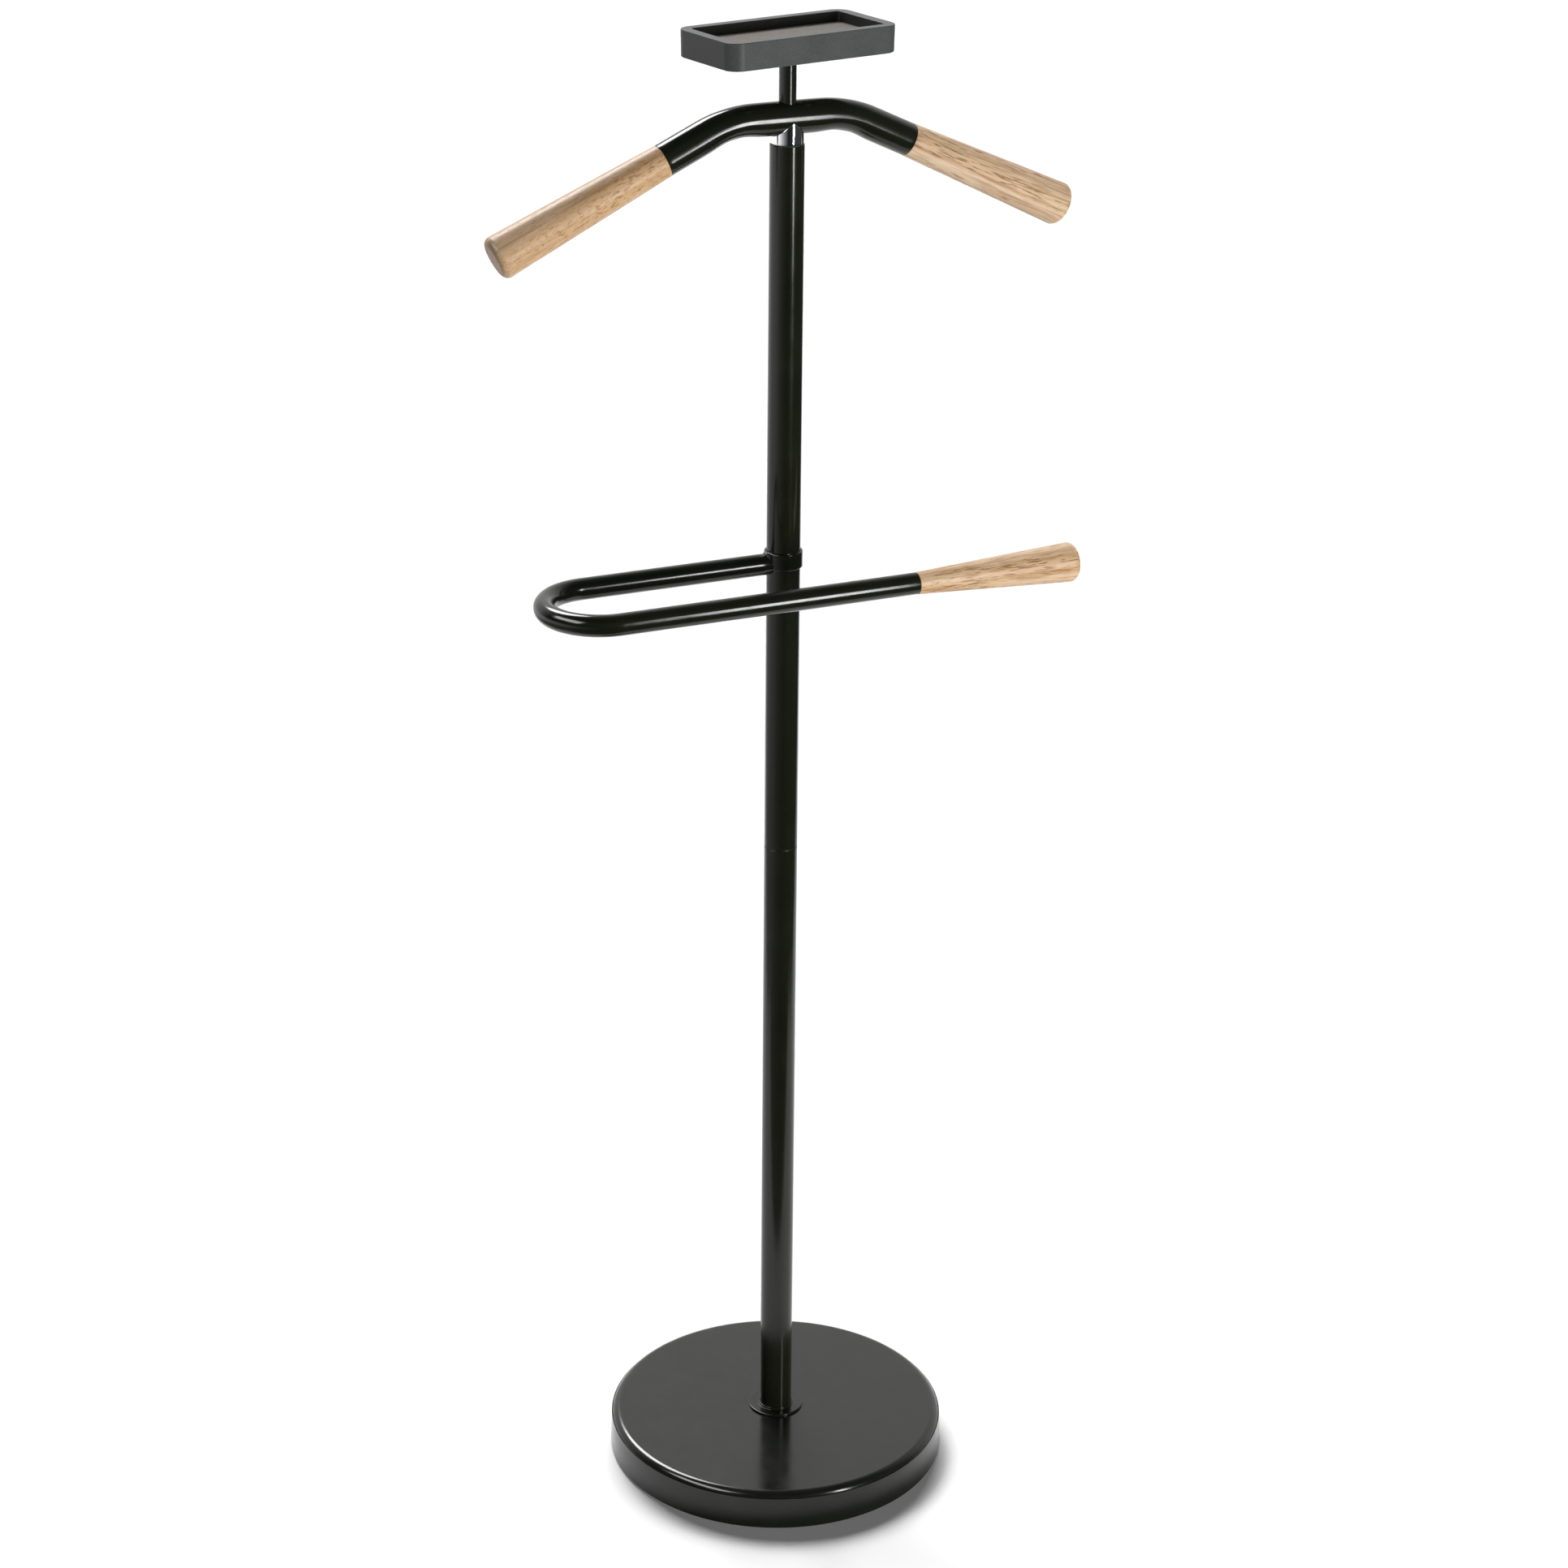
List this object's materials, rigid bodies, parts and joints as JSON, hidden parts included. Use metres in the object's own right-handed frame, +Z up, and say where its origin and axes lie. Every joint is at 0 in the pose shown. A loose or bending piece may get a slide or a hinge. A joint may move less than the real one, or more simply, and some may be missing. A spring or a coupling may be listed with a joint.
{
  "type": "valet stand",
  "caption": "Free-standing valet stand: round weighted base, slim pole, swinging trouser rail, jacket hanger with wooden grips and a small top tray.",
  "frame": {"origin": "On the floor, on the axis of the pole, under the centre of the round base", "axes": "+X runs along the hanger towards its right grip, +Z is up along the pole, and the trouser rail's front leg is on the -Y side"},
  "size_m": [0.4496, 0.265, 1.1408],
  "materials": {
    "base_enamel": "satin black powder coat",
    "black_enamel": "semi-gloss black powder coat",
    "bright_chrome": "polished plating",
    "zinc_steel": "zinc plated",
    "ballast": "cast, unfinished",
    "pad_rubber": "matte",
    "bearing_nylon": "black nylon",
    "pale_wood": "satin lacquered rubberwood",
    "tray_charcoal": "fine-textured charcoal",
    "tray_felt": "short-pile felt"
  },
  "bodies": {
    "stand": {"base_cover": "base_enamel", "base_weight": "ballast", "base_plate": "base_enamel", "base_feet": "pad_rubber", "base_washer": "zinc_steel", "base_bolt": "zinc_steel", "pole_flange": "black_enamel", "foot_plug": "zinc_steel", "lower_tube": "black_enamel", "joiner_socket": "zinc_steel", "joiner_stud": "zinc_steel", "middle_tube": "black_enamel", "collar_spindle": "zinc_steel", "upper_socket": "zinc_steel", "upper_tube": "black_enamel", "top_plug": "zinc_steel", "swivel_washer": "bearing_nylon"},
    "rail": {"rail_collar": "black_enamel", "trouser_rail": "black_enamel", "rail_end_plug": "zinc_steel", "rail_stud": "zinc_steel", "rail_grip": "pale_wood"},
    "hanger": {"hanger_neck": "bright_chrome", "neck_bush": "bearing_nylon", "hanger_tube": "black_enamel", "hanger_end_plugs": "zinc_steel", "hanger_studs": "zinc_steel", "left_grip": "pale_wood", "right_grip": "pale_wood"},
    "tray": {"tray_post": "black_enamel", "tray_plate": "black_enamel", "tray_screws": "zinc_steel", "tray_body": "tray_charcoal", "tray_mat": "tray_felt"}
  },
  "joints": [
    {"name": "rail_swivel", "type": "hinge", "parent": "stand", "child": "rail", "pos_m": [0, 0, 0.7507], "axis": [0, 0, 1], "continuous": true},
    {"name": "hanger_swivel", "type": "hinge", "parent": "stand", "child": "hanger", "pos_m": [0, 0, 1.0585], "axis": [0, 0, 1], "continuous": true},
    {"name": "tray_swivel", "type": "hinge", "parent": "stand", "child": "tray", "pos_m": [0, 0, 1.0585], "axis": [0, 0, 1], "continuous": true}
  ]
}
